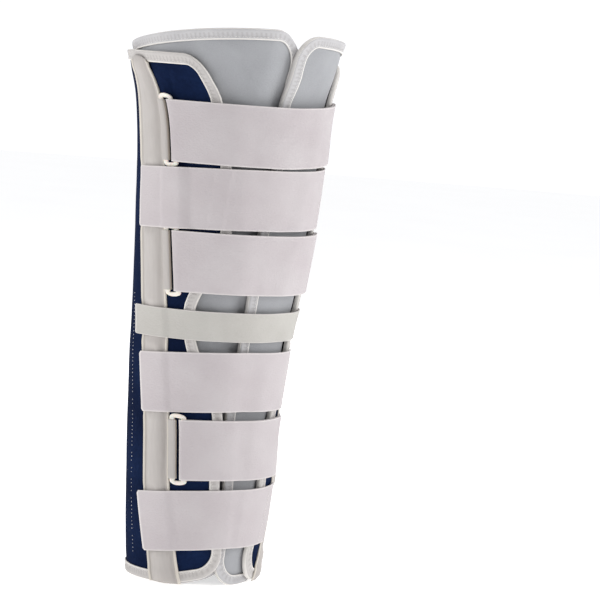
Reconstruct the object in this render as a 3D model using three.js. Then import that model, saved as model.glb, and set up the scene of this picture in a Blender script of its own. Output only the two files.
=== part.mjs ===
// A knee immobilizer: a bound foam liner and a bound outer shell wrapped round a leg, open at the front,
// with a stay cover on each side, seven straps and three slot loops with their tabs.
// Millimetres. +Z runs up the leg, the front of the knee faces -Y, and the loops are on the -X side.
// The brace stands on the liner's bottom rim, and the origin is under the middle of its outer box.
import * as THREE from "three";

// Heights
const shellTop = 608;
const shellFoot = 2;
const linerRise = 34;
const outerFlapRise = 30;

// Radii of the shell's outer face
const ankleRadius = 78;
const calfRadius = 87;
const kneeRadius = 93.3;
const thighRadius = 107.5;
const topRadius = 132;
const thighForward = 18;

// Walls and clearances
const shellWall = 4;
const linerWall = 6;
const tapeThick = 0.8;
const tapeWide = 12;
const seam = 0.6;
const play = 0.9;

// The flat shell, measured along its face from the middle of the back
const shellReach = 281;
const shellTopCorner = 23;
const shellFootCorner = 34;
const shellFootRise = 10;
const linerFootRise = 7;
const shellRiseStart = 160;
const shellRiseEnd = 230;

// The liner's flaps, measured from the middle of the front
const flapLap = 14;
const underLap = 16;
const flapTopCorner = 30;
const underTopCorner = 34;
const flapFootCorner = 34;
const underRun = 35;

// Stay covers
const stayArc = 172;
const stayWide = 36;
const stayThick = 3;
const stayEdgeThick = 1;
const stayShoulder = 5.4;

// Straps
const strapWide = 69;
const strapNarrow = 34;
const strapThick = 1.5;
const strapLift = 1.2;
const strapEndGap = 3;
const strapTurnIn = 9;
const strapClimb = 1.6;
const strapEndShare = 0.12;
const stayStep = 9;
const loopStep = 14;
const dipStart = 6;
const dipEnd = 32;
const dipShare = 0.45;

// Slot loops and their tabs
const loopWide = 19;
const loopBar = 6;
const loopArm = 4;
const loopThick = 3;
const loopRise = 3;
const loopFromStay = 2.5;
const loopSlack = 1;
const tabThick = 1.2;
const wrapGap = 0.7;
const restGap = 0.9;
const overFromBar = 33;
const underFromBar = 13;

// The outer face's radius up the leg, and how far the wall stands forward as a share of thighForward.
// Each height is a share of the shell's top.
const WALL = [
  { at: 0, radius: 0.955 * ankleRadius, forward: -0.1 },
  { at: 0.05, radius: ankleRadius, forward: 0 },
  { at: 0.18, radius: 0.97 * calfRadius, forward: 0.12 },
  { at: 0.31, radius: calfRadius, forward: 0 },
  { at: 0.43, radius: 0.98 * kneeRadius, forward: 0.16 },
  { at: 0.49, radius: kneeRadius, forward: 0.33 },
  { at: 0.54, radius: 1.03 * kneeRadius, forward: 0.56 },
  { at: 0.61, radius: 0.925 * thighRadius, forward: 0.8 },
  { at: 0.71, radius: 0.965 * thighRadius, forward: 1 },
  { at: 0.82, radius: thighRadius, forward: 1.08 },
  { at: 0.92, radius: 1.045 * thighRadius, forward: 0.92 },
  { at: 0.98, radius: 0.92 * topRadius, forward: 0.9 },
  { at: 1.06, radius: topRadius, forward: 1.05 },
];

// The shell's front edges, as shares of its reach. Both recede at the knee, the far one more.
const SHELL_EDGE = [
  { at: 0, near: 0.85, far: 0.785 },
  { at: 0.07, near: 0.852, far: 0.785 },
  { at: 0.2, near: 0.872, far: 0.82 },
  { at: 0.34, near: 0.889, far: 0.8 },
  { at: 0.395, near: 0.85, far: 0.775 },
  { at: 0.46, near: 0.8, far: 0.755 },
  { at: 0.5, near: 0.79, far: 0.75 },
  { at: 0.54, near: 0.81, far: 0.755 },
  { at: 0.61, near: 0.905, far: 0.775 },
  { at: 0.68, near: 0.975, far: 0.785 },
  { at: 0.8, near: 0.989, far: 0.82 },
  { at: 0.92, near: 0.987, far: 0.86 },
  { at: 1.06, near: 1.005, far: 0.89 },
];

// How far the outer flap laps past the middle of the front, and the under flap the other way, as shares
const FLAP_EDGE = [
  { at: 0, outer: 1, under: 0.6 },
  { at: 0.2, outer: 1.03, under: 0.7 },
  { at: 0.33, outer: 1.35, under: 0.8 },
  { at: 0.44, outer: 0.95, under: 1 },
  { at: 0.68, outer: 0.9, under: 1.2 },
  { at: 0.8, outer: 0.3, under: 1 },
  { at: 0.91, outer: 0.25, under: 1.35 },
  { at: 0.98, outer: -0.5, under: 1.35 },
  { at: 1.06, outer: -0.8, under: 0.5 },
];

// The stay covers' middle line and width, as shares of its arc from the back and of the full width
const STAY_LINE = [
  { at: 0, share: 0.965, wide: 1 },
  { at: 0.26, share: 0.997, wide: 0.86 },
  { at: 0.54, share: 1, wide: 1.03 },
  { at: 0.67, share: 1.012, wide: 1.06 },
  { at: 0.85, share: 1.036, wide: 1.13 },
  { at: 0.92, share: 1.045, wide: 1.08 },
  { at: 0.98, share: 1.07, wide: 0.95 },
  { at: 1.06, share: 1.1, wide: 0.85 },
];

// The straps from the top down: the free height above each, as a share of all that the straps leave free,
// how far the near end drops and the far end rises, and how the near end is held. Strap 2 lies over the
// arms of the loops above and below it.
const STRAPS = [
  { name: "strap_1", above: 0.325, wide: strapWide, drop: 0, rise: 7.5, held: "loop" },
  { name: "strap_2", above: 0.014, wide: strapWide, drop: 6, rise: 4, held: "stay", past: 0, over: "loops" },
  { name: "strap_3", above: 0.03, wide: strapWide, drop: 1.5, rise: 2, held: "loop" },
  { name: "strap_4", above: 0.131, wide: strapNarrow, drop: 1, rise: 2, held: "stay", past: 12 },
  { name: "strap_5", above: 0.072, wide: strapWide, drop: 10, rise: -1, held: "stay", past: 3 },
  { name: "strap_6", above: 0.0625, wide: strapWide, drop: 6, rise: 2, held: "loop" },
  { name: "strap_7", above: 0.069, wide: strapWide, drop: 13, rise: 3, held: "stay", past: 8 },
];

// Mesh steps
const chord = 15;
const panelColumns = 32;
const linerColumns = 36;
const panelRows = 16;
const cornerSteps = 3;
const stayRows = 17;
const foldSteps = 5;
const loopArchSteps = 6;
const loopBarSteps = 2;

const navyLaminate = { color: 0x1b2a4b, roughness: 0.85 };
const greyFoam = { color: 0xb4b8bb, roughness: 0.8 };
const whiteTape = { color: 0xdedbd8, roughness: 0.7 };
const whiteWebbing = { color: 0xd6cfd0, roughness: 0.75 };
const creamWebbing = { color: 0xd0cec6, roughness: 0.75 };
const whitePlastic = { color: 0xe6e2da, roughness: 0.35 };

// A smooth curve through one column of a table
function lookUp(table, column, at) {
  const last = table.length - 1;
  const x = THREE.MathUtils.clamp(at, table[0].at, table[last].at);
  let i = 0;
  while (i < last - 1 && x > table[i + 1].at) i += 1;
  const slope = (k) => {
    const a = table[Math.max(k - 1, 0)];
    const b = table[Math.min(k + 1, last)];
    return (b[column] - a[column]) / (b.at - a.at);
  };
  const run = table[i + 1].at - table[i].at;
  const t = (x - table[i].at) / run;
  const t2 = t * t;
  const t3 = t2 * t;
  return (
    (2 * t3 - 3 * t2 + 1) * table[i][column] +
    (t3 - 2 * t2 + t) * run * slope(i) +
    (3 * t2 - 2 * t3) * table[i + 1][column] +
    (t3 - t2) * run * slope(i + 1)
  );
}

const share = (z) => z / shellTop;
const radiusAt = (z) => lookUp(WALL, "radius", share(z));
const forwardAt = (z) => thighForward * lookUp(WALL, "forward", share(z));

// The point at an arc along the shell's outer face from the middle of the back, near side positive,
// at a height, and off the face by so much
function onWall(arc, z, off) {
  const radius = radiusAt(z);
  const turn = arc / radius;
  const reach = radius + off;
  return new THREE.Vector3(-reach * Math.sin(turn), reach * Math.cos(turn) - forwardAt(z), z);
}

// A closed body from shared vertices, turned so that its faces point out
function closedBody(points, faces) {
  let volume = 0;
  const normal = new THREE.Vector3();
  for (const [a, b, c] of faces) volume += points[a].dot(normal.crossVectors(points[b], points[c]));
  const turned = volume < 0 ? faces.map(([a, b, c]) => [a, c, b]) : faces;
  const geometry = new THREE.BufferGeometry().setFromPoints(points);
  geometry.setIndex(turned.flat());
  geometry.computeVertexNormals();
  return geometry;
}

const quad = (a, b, c, d) => [
  [a, b, c],
  [a, c, d],
];

// A body swept through sections with the same number of corners, closed on itself or capped.
// A capped section runs out along one side and back along the other, with as many corners each way.
function sweptBody(sections, closes) {
  const corners = sections[0].length;
  const points = sections.flat();
  const faces = [];
  const steps = closes ? sections.length : sections.length - 1;
  for (let i = 0; i < steps; i += 1) {
    const next = (i + 1) % sections.length;
    for (let k = 0; k < corners; k += 1) {
      const m = (k + 1) % corners;
      faces.push(...quad(i * corners + k, i * corners + m, next * corners + m, next * corners + k));
    }
  }
  if (!closes) {
    const end = (sections.length - 1) * corners;
    for (let k = 0; k < corners / 2 - 1; k += 1) {
      const back = corners - 1 - k;
      faces.push(...quad(k, back, back - 1, k + 1));
      faces.push(...quad(end + k, end + k + 1, end + back - 1, end + back));
    }
  }
  return closedBody(points, faces);
}

// The rows of a panel with rounded corners: how deep each row lies in the foot or top corner, from 0 to 1
// both ways, or its share of the straight height between them
function panelRowList() {
  const rows = [];
  for (let k = 0; k < cornerSteps; k += 1) rows.push({ foot: (k * Math.PI) / 2 / cornerSteps });
  for (let k = 0; k <= panelRows; k += 1) rows.push({ between: k / panelRows });
  for (let k = cornerSteps - 1; k >= 0; k -= 1) rows.push({ top: (k * Math.PI) / 2 / cornerSteps });
  return rows;
}

// The grid of arcs and heights that a flat panel covers, drawn in from its outline by an inset.
// A panel gives edge(side, z), top(arc), foot(arc) and corner[side], with side -1 far and 1 near.
function panelGrid(panel, inset, columns) {
  const step = 1;
  const edgeAt = (side, z) => {
    const slope = (panel.edge(side, z + step) - panel.edge(side, z - step)) / (2 * step);
    return panel.edge(side, z) - inset * Math.hypot(1, slope);
  };
  const radii = (side, end) => Math.max(panel.corner[side][end] - inset, step);
  const rowEnd = (row, side) => {
    const foot = radii(side, "foot");
    const top = radii(side, "top");
    const angle = row.foot ?? row.top ?? Math.PI / 2;
    const end = row.foot === undefined ? top : foot;
    const drawn = end * (1 - Math.sin(angle));
    const deep = end * (1 - Math.cos(angle));
    const reach = panel.edge(side, shellTop / 2);
    const low = panel.foot(side * reach) + inset;
    const high = panel.top(side * reach) - inset;
    const z =
      row.foot !== undefined
        ? low + deep
        : row.top !== undefined
          ? high - deep
          : low + foot + row.between * (high - top - low - foot);
    return { arc: side * (edgeAt(side, z) - drawn), deep, foot, top };
  };
  return panelRowList().map((row) => {
    const far = rowEnd(row, -1);
    const near = rowEnd(row, 1);
    return Array.from({ length: columns + 1 }, (_, i) => {
      const u = i / columns;
      const mix = (key) => THREE.MathUtils.lerp(far[key], near[key], u);
      const arc = mix("arc");
      const low = panel.foot(arc) + inset;
      const high = panel.top(arc) - inset;
      let z = low + mix("foot") + (row.between ?? 0) * (high - mix("top") - low - mix("foot"));
      if (row.foot !== undefined) z = low + mix("deep");
      if (row.top !== undefined) z = high - mix("deep");
      return { arc, z };
    });
  });
}

// The panel's wall between two offsets from the shell's outer face
function panelBody(panel, inset, columns, inner, outer) {
  const grid = panelGrid(panel, inset, columns);
  const wide = columns + 1;
  const layer = (off) => grid.flat().map(({ arc, z }) => onWall(arc, z, off + panel.shift(arc, z)));
  const points = [...layer(outer), ...layer(inner)];
  const under = grid.length * wide;
  const faces = [];
  for (let j = 0; j < grid.length - 1; j += 1) {
    for (let i = 0; i < columns; i += 1) {
      const a = j * wide + i;
      faces.push(...quad(a, a + 1, a + wide + 1, a + wide));
      faces.push(...quad(under + a + wide, under + a + wide + 1, under + a + 1, under + a));
    }
  }
  const loop = loopIndices(grid.length, wide);
  loop.forEach((a, k) => {
    const b = loop[(k + 1) % loop.length];
    faces.push(...quad(b, a, under + a, under + b));
  });
  return closedBody(points, faces);
}

// The indices round the edge of a grid, in order
function loopIndices(rows, wide) {
  const loop = [];
  for (let i = 0; i < wide - 1; i += 1) loop.push(i);
  for (let j = 0; j < rows - 1; j += 1) loop.push(j * wide + wide - 1);
  for (let i = wide - 1; i > 0; i -= 1) loop.push((rows - 1) * wide + i);
  for (let j = rows - 1; j > 0; j -= 1) loop.push(j * wide);
  return loop;
}

// The binding tape that closes a panel's edge all round
function bindingBody(panel, columns, inner, outer) {
  const rim = panelGrid(panel, 0, columns);
  const within = panelGrid(panel, tapeWide, columns).flat();
  const sections = loopIndices(rim.length, columns + 1).map((k) => {
    const edge = rim.flat()[k];
    const deep = within[k];
    const at = ({ arc, z }, off) => onWall(arc, z, off + panel.shift(arc, z));
    return [at(edge, outer), at(deep, outer), at(deep, inner), at(edge, inner)];
  });
  return sweptBody(sections, true);
}

const ramp = (x, from, to) => THREE.MathUtils.smoothstep(x, Math.min(from, to), Math.max(from, to));

const shellPanel = {
  edge: (side, z) => shellReach * lookUp(SHELL_EDGE, side > 0 ? "near" : "far", share(z)),
  top: () => shellTop,
  foot: (arc) => shellFoot + shellFootRise * ramp(Math.abs(arc), shellRiseStart, shellRiseEnd),
  corner: {
    [-1]: { top: shellTopCorner, foot: shellFootCorner },
    1: { top: shellTopCorner, foot: shellFootCorner },
  },
  shift: () => 0,
};

// The liner's outer face lies under the shell's binding
const linerFace = -(shellWall + tapeThick + play + tapeThick);
const outerFlapArc = (z) => Math.PI * radiusAt(z) + flapLap * lookUp(FLAP_EDGE, "outer", share(z));
const underFlapArc = (z) => Math.PI * radiusAt(z) + underLap * lookUp(FLAP_EDGE, "under", share(z));
const underDepth = linerWall + 2 * tapeThick + play;

const linerPanel = {
  edge: (side, z) => (side > 0 ? underFlapArc(z) : outerFlapArc(z)),
  top: (arc) => {
    const front = 0.5 - 0.5 * Math.cos(arc / radiusAt(shellTop));
    return shellTop + front * (arc > 0 ? linerRise : outerFlapRise);
  },
  foot: (arc) => linerFootRise * ramp(arc, shellRiseStart, shellRiseEnd),
  corner: {
    [-1]: { top: flapTopCorner, foot: flapFootCorner },
    1: { top: underTopCorner, foot: flapFootCorner },
  },
  // The near flap goes under the far one
  shift: (arc, z) => {
    const covered = 2 * Math.PI * radiusAt(z) - outerFlapArc(z) - play - tapeThick;
    return -underDepth * ramp(arc, covered - underRun, covered);
  },
};

const stayArcAt = (z) => stayArc * lookUp(STAY_LINE, "share", share(z));
const stayHalfAt = (z) => (stayWide / 2) * lookUp(STAY_LINE, "wide", share(z));
const stayEdgeAt = (z) => stayArcAt(z) + stayHalfAt(z);

// A stay cover: a low rounded strip down one side, over the binding at both ends
function stayCover(side) {
  const low = shellFoot + seam;
  const high = shellTop - tapeWide / 2;
  const clear = shellFoot + tapeWide + shellFootRise / 2;
  const between = Array.from({ length: stayRows + 1 }, (_, i) =>
    THREE.MathUtils.lerp(clear + tapeWide, high - 2 * tapeWide, i / stayRows),
  );
  const sections = [low, clear, ...between, high - tapeWide, high].map((z) => {
    const over = 1 - ramp(z, clear, clear + tapeWide) + ramp(z, high - 2 * tapeWide, high - tapeWide);
    const base = restGap + tapeThick * Math.min(over, 1);
    const half = stayHalfAt(z);
    const flat = half - stayShoulder;
    const across = [
      [-half, stayEdgeThick],
      [-flat, stayThick],
      [flat, stayThick],
      [half, stayEdgeThick],
      [half, 0],
      [half / 3, 0],
      [-half / 3, 0],
      [-half, 0],
    ];
    return across.map(([arc, off]) => onWall(side * (stayArcAt(z) + arc), z, base + off));
  });
  return sweptBody(sections, false);
}

// The middle height of each strap at the front
const strapSum = STRAPS.reduce((sum, strap) => sum + strap.wide, 0);
const freeHeight = shellTop - strapSum;
let edgeAbove = shellTop;
for (const strap of STRAPS) {
  strap.top = edgeAbove - strap.above * freeHeight;
  strap.middle = strap.top - strap.wide / 2;
  edgeAbove = strap.top - strap.wide;
}

// A strap's middle height at a turn from the front, near side positive, in radians
function strapHeight(strap, turn) {
  const tilt = turn > 0 ? -strap.drop : strap.rise;
  const full = turn > 0 ? Math.PI / 2 : Math.PI / 3;
  return strap.middle + tilt * Math.min(Math.abs(turn) / full, 1) ** strapClimb;
}

const overTape = tapeThick + strapLift;
const overStay = restGap + stayThick + restGap;
const overGap = linerFace + tapeThick + 2 * play;
const barOff = overTape + strapThick + wrapGap + loopThick / 2;
const overLoops = barOff + loopThick / 2 + wrapGap;

// Where a strap crosses the shell's near front edge, as an arc from the back: the furthest that its width
// meets
function crossing(strap) {
  const heights = [-1, 0, 1].map((k) => strap.middle + (k * strap.wide) / 2);
  return Math.max(...heights.map((z) => shellPanel.edge(1, z)));
}

// A strap's inner side along its route, as stops from its near end to its far end: the arc and how far off
// the shell's face it lies. It leaves the stay cover, runs over the shell, dips on to the liner's flaps
// past the shell's near edge, and climbs again as far from the far end.
function strapStops(strap, layer) {
  const z = strap.middle;
  const whole = 2 * Math.PI * radiusAt(z);
  const farEnd = whole - (stayEdgeAt(z) + strapEndGap + (layer > 0 ? strapTurnIn : 0));
  const leave = crossing(strap);
  const land = whole - leave;
  // Where the gap is narrow the strap bridges it and dips less
  const run = Math.min(dipEnd, dipShare * (land - leave));
  const begin = Math.min(dipStart, run / 2);
  const dip = THREE.MathUtils.lerp(overTape, overGap, (run - begin) / (dipEnd - dipStart));
  const across = [
    { arc: leave + begin, off: overTape },
    { arc: leave + run, off: dip },
    { arc: land - run, off: dip },
    { arc: land - begin, off: overTape },
    { arc: farEnd, off: overTape },
  ];
  if (strap.held === "loop") {
    return [{ arc: farBarArc(z) + (layer > 0 ? overFromBar : underFromBar), off: overTape }, ...across];
  }
  const edge = stayEdgeAt(z);
  const start = { arc: stayArcAt(z) - stayHalfAt(z) - strap.past, off: overStay };
  if (strap.over === "loops") {
    return [
      start,
      { arc: edge - loopFromStay, off: overStay },
      { arc: edge + loopFromStay, off: overLoops },
      { arc: edge + loopFromStay + loopWide + play, off: overLoops },
      { arc: edge + loopFromStay + loopWide + loopStep, off: overTape },
      ...across,
    ];
  }
  return [
    start,
    { arc: edge - stayStep / 2, off: overStay },
    { arc: edge + stayStep / 2, off: overTape },
    ...across,
  ];
}

// The strap's route: its stops, with steps of at most one chord between them and smooth climbs
function strapRoute(strap, layer) {
  const stops = strapStops(strap, layer);
  const raise = strapThick / 2 + layer * (strapThick + wrapGap);
  const route = [];
  stops.slice(1).forEach((stop, k) => {
    const from = stops[k];
    const steps = Math.max(Math.ceil((stop.arc - from.arc) / chord), 1);
    for (let i = 0; i < steps; i += 1) {
      const t = i / steps;
      const off = THREE.MathUtils.lerp(from.off, stop.off, ramp(t, 0, 1));
      route.push({ arc: THREE.MathUtils.lerp(from.arc, stop.arc, t), off: off + raise });
    }
  });
  const last = stops[stops.length - 1];
  return [...route, { arc: last.arc, off: last.off + raise }];
}

// The loop's bars, as arcs from the back at a height
const nearBarArc = (z) => stayEdgeAt(z) + loopFromStay + loopBar / 2;
const farBarArc = (z) => stayEdgeAt(z) + loopFromStay + loopWide - loopBar / 2;

// A band's turn round a bar, flat over the bar, round its edge and flat under it
function foldRoute(arcAt, towards, thick) {
  const radius = loopThick / 2 + wrapGap + thick / 2;
  const centre = arcAt + towards * (loopBar / 2 - loopThick / 2);
  const turn = Array.from({ length: foldSteps + 1 }, (_, i) => {
    const angle = (Math.PI * i) / foldSteps;
    return { arc: centre + towards * radius * Math.sin(angle), off: barOff + radius * Math.cos(angle) };
  });
  const flat = arcAt - (towards * loopBar) / 2;
  return [{ arc: flat, off: barOff + radius }, ...turn, { arc: flat, off: barOff - radius }];
}

// A band of webbing along a route of arcs and offsets, as wide as given, its middle at the heights given
function band(route, wide, thick, heightAt) {
  const sections = route.map((here, i) => {
    const before = route[Math.max(i - 1, 0)];
    const after = route[Math.min(i + 1, route.length - 1)];
    const run = new THREE.Vector2(after.arc - before.arc, after.off - before.off).normalize();
    const side = (sign, rise) => {
      const arc = here.arc - (sign * run.y * thick) / 2;
      const off = here.off + (sign * run.x * thick) / 2;
      return heightAt(arc, rise, off);
    };
    const low = -wide / 2;
    return [side(-1, low), side(-1, 0), side(-1, -low), side(1, -low), side(1, 0), side(1, low)];
  });
  return sweptBody(sections, false);
}

// The point of a strap at an arc along its middle line and a height above it. Both ends run parallel to
// the stay covers, which the cone of the wall turns a little from one edge of the strap to the other.
function onStrap(strap, arc, rise, off) {
  const z = strap.middle;
  const radius = radiusAt(z);
  const whole = 2 * Math.PI * radius;
  const height = strapHeight(strap, Math.PI - arc / radius) + rise;
  const shift = stayEdgeAt(height) - stayEdgeAt(z);
  const round = radiusAt(height);
  const fromNear = arc + shift;
  const fromFar = 2 * Math.PI * round - (whole - arc + shift);
  const along = (arc - stayEdgeAt(z)) / (whole - 2 * stayEdgeAt(z));
  const turned = THREE.MathUtils.lerp(fromNear, fromFar, ramp(along, strapEndShare, 1 - strapEndShare));
  return onWall(turned, height, off);
}

function strapBody(strap) {
  const z = strap.middle;
  const heightAt = (arc, rise, off) => onStrap(strap, arc, rise, off);
  if (strap.held === "stay") return band(strapRoute(strap, 0), strap.wide, strapThick, heightAt);
  const over = strapRoute(strap, 1).reverse();
  const under = strapRoute(strap, 0);
  const fold = foldRoute(farBarArc(z), -1, strapThick);
  return band([...over, ...fold, ...under], strap.wide, strapThick, heightAt);
}

// A point in a loop's own frame: along the arc from the stay cover's edge and up from the strap's middle
function beside(strap, z, arcOff, rise, off) {
  const height = strapHeight(strap, Math.PI - farBarArc(z) / radiusAt(z)) + rise;
  return onWall(stayEdgeAt(height) + arcOff, height, off);
}

// A slot loop: two flat bars joined by narrower round arms
function slotLoop(strap) {
  const z = strap.middle;
  const half = (loopWide - loopBar) / 2;
  const straight = strap.wide / 2 + loopSlack;
  const middle = loopFromStay + loopWide / 2;
  const line = [];
  for (let k = 0; k < loopBarSteps; k += 1) {
    line.push({ arc: half, rise: straight * ((2 * k) / loopBarSteps - 1), across: loopBar });
  }
  for (let k = 0; k < loopArchSteps; k += 1) {
    const up = Math.sin((Math.PI * k) / loopArchSteps);
    line.push({
      arc: half * Math.cos((Math.PI * k) / loopArchSteps),
      rise: straight + (loopRise + loopArm / 2) * up,
      across: THREE.MathUtils.lerp(loopBar, loopArm, up),
    });
  }
  const turned = line.map(({ arc, rise, across }) => ({ arc: -arc, rise: -rise, across }));
  const path = [...line, ...turned];
  const sections = path.map(({ arc, rise, across }, i) => {
    const before = path[(i + path.length - 1) % path.length];
    const after = path[(i + 1) % path.length];
    const out = new THREE.Vector2(after.rise - before.rise, before.arc - after.arc).normalize();
    const corner = (away, off) =>
      beside(strap, z, middle + arc + out.x * away, rise + out.y * away, barOff + off);
    const wide = across / 2;
    const thin = loopThick / 2;
    return [
      corner(wide, 0),
      corner(wide / 2, thin),
      corner(-wide / 2, thin),
      corner(-wide, 0),
      corner(-wide / 2, -thin),
      corner(wide / 2, -thin),
    ];
  });
  return sweptBody(sections, true);
}

// A tab that holds a loop's near bar: from the stay cover's edge, round the bar and back
function tabBody(strap) {
  const z = strap.middle;
  const edge = stayEdgeAt(z);
  const fold = foldRoute(nearBarArc(z), 1, tabThick);
  const root = restGap + tabThick / 2;
  const start = edge + play;
  const route = [{ arc: start, off: root + tabThick + wrapGap }, ...fold, { arc: start, off: root }];
  return band(route, strap.wide - 2 * loopSlack, tabThick, (arc, rise, off) =>
    beside(strap, z, arc - edge, rise, off),
  );
}

const brace = new THREE.Group();

function addPiece(name, geometry, finish) {
  const mesh = new THREE.Mesh(geometry, new THREE.MeshStandardMaterial({ ...finish, metalness: 0 }));
  mesh.name = name;
  brace.add(mesh);
}

const tucked = tapeWide + seam;
addPiece("liner", panelBody(linerPanel, tucked, linerColumns, linerFace - linerWall, linerFace), greyFoam);
addPiece(
  "liner_binding",
  bindingBody(linerPanel, linerColumns, linerFace - linerWall - tapeThick, linerFace + tapeThick),
  whiteTape,
);
addPiece("outer_shell", panelBody(shellPanel, tucked, panelColumns, -shellWall, 0), navyLaminate);
addPiece(
  "shell_binding",
  bindingBody(shellPanel, panelColumns, -shellWall - tapeThick, tapeThick),
  whiteTape,
);
addPiece("stay_cover_near", stayCover(1), whiteTape);
addPiece("stay_cover_far", stayCover(-1), whiteTape);
for (const strap of STRAPS) {
  addPiece(strap.name, strapBody(strap), strap.wide === strapNarrow ? creamWebbing : whiteWebbing);
  if (strap.held === "loop") {
    const number = strap.name.slice(-1);
    addPiece("slot_loop_" + number, slotLoop(strap), whitePlastic);
    addPiece("loop_tab_" + number, tabBody(strap), whiteTape);
  }
}

const box = new THREE.Box3().setFromObject(brace);
const middle = box.getCenter(new THREE.Vector3());
brace.position.set(-middle.x, -middle.y, -box.min.z);

export default brace;
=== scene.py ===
# A knee immobilizer: a bound foam liner and a bound laminate shell round a straight leg, with a stay
# sleeve down each side, seven straps, and three slot loops on the near side.
# Lengths are millimetres along the flat cloth until on_wall() bends it round the leg and turns it to metres.
import math
import random
from collections.abc import Callable
from dataclasses import dataclass
from functools import lru_cache
from itertools import accumulate

import bmesh
import bpy
from mathutils import Matrix, Vector, noise


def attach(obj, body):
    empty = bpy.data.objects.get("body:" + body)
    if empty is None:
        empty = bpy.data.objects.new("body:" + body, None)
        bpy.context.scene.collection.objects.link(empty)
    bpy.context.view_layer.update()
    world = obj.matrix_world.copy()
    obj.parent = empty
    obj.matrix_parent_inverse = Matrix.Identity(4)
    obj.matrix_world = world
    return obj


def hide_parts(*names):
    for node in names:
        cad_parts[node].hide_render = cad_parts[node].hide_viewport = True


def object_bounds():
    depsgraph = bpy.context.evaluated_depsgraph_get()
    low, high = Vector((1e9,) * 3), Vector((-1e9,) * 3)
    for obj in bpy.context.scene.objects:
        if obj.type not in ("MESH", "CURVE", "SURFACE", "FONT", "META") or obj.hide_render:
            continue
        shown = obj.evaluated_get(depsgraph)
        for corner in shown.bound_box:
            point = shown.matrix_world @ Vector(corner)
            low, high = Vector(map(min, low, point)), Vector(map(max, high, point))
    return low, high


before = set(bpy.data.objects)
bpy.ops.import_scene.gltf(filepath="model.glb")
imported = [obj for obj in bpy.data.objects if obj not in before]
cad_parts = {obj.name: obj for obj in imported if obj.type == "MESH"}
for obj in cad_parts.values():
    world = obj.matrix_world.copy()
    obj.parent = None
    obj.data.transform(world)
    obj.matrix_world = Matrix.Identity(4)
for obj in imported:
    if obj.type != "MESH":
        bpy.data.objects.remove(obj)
cad_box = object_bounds()

MM = 0.001
NEAR, FAR = 1, -1

# The real sizes of the brace
SHELL_TOP = 608
SHELL_FOOT = 2
LINER_RISE = 34
OUTER_FLAP_RISE = 30
ANKLE_RADIUS = 78
CALF_RADIUS = 87
KNEE_RADIUS = 93.3
THIGH_RADIUS = 107.5
TOP_RADIUS = 132
THIGH_FORWARD = 18
SHELL_WALL = 4
LINER_WALL = 6
TAPE_THICK = 0.8
TAPE_WIDE = 12
PLAY = 0.9
SHELL_REACH = 281
SHELL_TOP_CORNER = 23
SHELL_FOOT_CORNER = 34
SHELL_FOOT_RISE = 10
LINER_FOOT_RISE = 7
SHELL_RISE_START = 160
SHELL_RISE_END = 230
FLAP_LAP = 14
UNDER_LAP = 16
FLAP_TOP_CORNER = 30
UNDER_TOP_CORNER = 34
FLAP_FOOT_CORNER = 34
UNDER_RUN = 35
STAY_ARC = 172
STAY_WIDE = 36
STAY_THICK = 3
STRAP_WIDE = 69
STRAP_NARROW = 34
STRAP_THICK = 1.5
NAP = 0.2
STRAP_LIFT = 1.2
STRAP_END_GAP = 3
STRAP_TURN_IN = 9
STRAP_CLIMB = 1.6
STRAP_END_SHARE = 0.12
STAY_STEP = 9
LOOP_STEP = 14
DIP_START = 6
DIP_END = 32
DIP_SHARE = 0.45
LOOP_WIDE = 19
LOOP_BAR = 6
LOOP_ARM = 5
LOOP_THICK = 3
LOOP_RISE = 0.4
LOOP_FROM_STAY = 2.5
LOOP_SLACK = 1
TAB_THICK = 1.2
WRAP_GAP = 0.7
REST_GAP = 0.9
OVER_FROM_BAR = 33
UNDER_FROM_BAR = 13

# Where each radius holds, as a share of the shell's top, and how far the wall stands forward there
WALL = [
    {"at": 0, "radius": 0.955 * ANKLE_RADIUS, "forward": -0.1},
    {"at": 0.05, "radius": ANKLE_RADIUS, "forward": 0},
    {"at": 0.18, "radius": 0.97 * CALF_RADIUS, "forward": 0.12},
    {"at": 0.31, "radius": CALF_RADIUS, "forward": 0},
    {"at": 0.43, "radius": 0.98 * KNEE_RADIUS, "forward": 0.16},
    {"at": 0.49, "radius": KNEE_RADIUS, "forward": 0.33},
    {"at": 0.54, "radius": 1.03 * KNEE_RADIUS, "forward": 0.56},
    {"at": 0.61, "radius": 0.925 * THIGH_RADIUS, "forward": 0.8},
    {"at": 0.71, "radius": 0.965 * THIGH_RADIUS, "forward": 1},
    {"at": 0.82, "radius": THIGH_RADIUS, "forward": 1.08},
    {"at": 0.92, "radius": 1.045 * THIGH_RADIUS, "forward": 0.92},
    {"at": 0.98, "radius": 0.92 * TOP_RADIUS, "forward": 0.9},
    {"at": 1.06, "radius": TOP_RADIUS, "forward": 1.05},
]

# The shell's front edges, as shares of its reach
SHELL_EDGE = [
    {"at": 0, NEAR: 0.85, FAR: 0.785},
    {"at": 0.07, NEAR: 0.852, FAR: 0.785},
    {"at": 0.2, NEAR: 0.872, FAR: 0.82},
    {"at": 0.34, NEAR: 0.889, FAR: 0.8},
    {"at": 0.395, NEAR: 0.85, FAR: 0.775},
    {"at": 0.46, NEAR: 0.8, FAR: 0.755},
    {"at": 0.5, NEAR: 0.79, FAR: 0.75},
    {"at": 0.54, NEAR: 0.81, FAR: 0.755},
    {"at": 0.61, NEAR: 0.905, FAR: 0.775},
    {"at": 0.68, NEAR: 0.975, FAR: 0.785},
    {"at": 0.8, NEAR: 0.989, FAR: 0.82},
    {"at": 0.92, NEAR: 0.987, FAR: 0.86},
    {"at": 1.06, NEAR: 1.005, FAR: 0.89},
]

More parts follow.
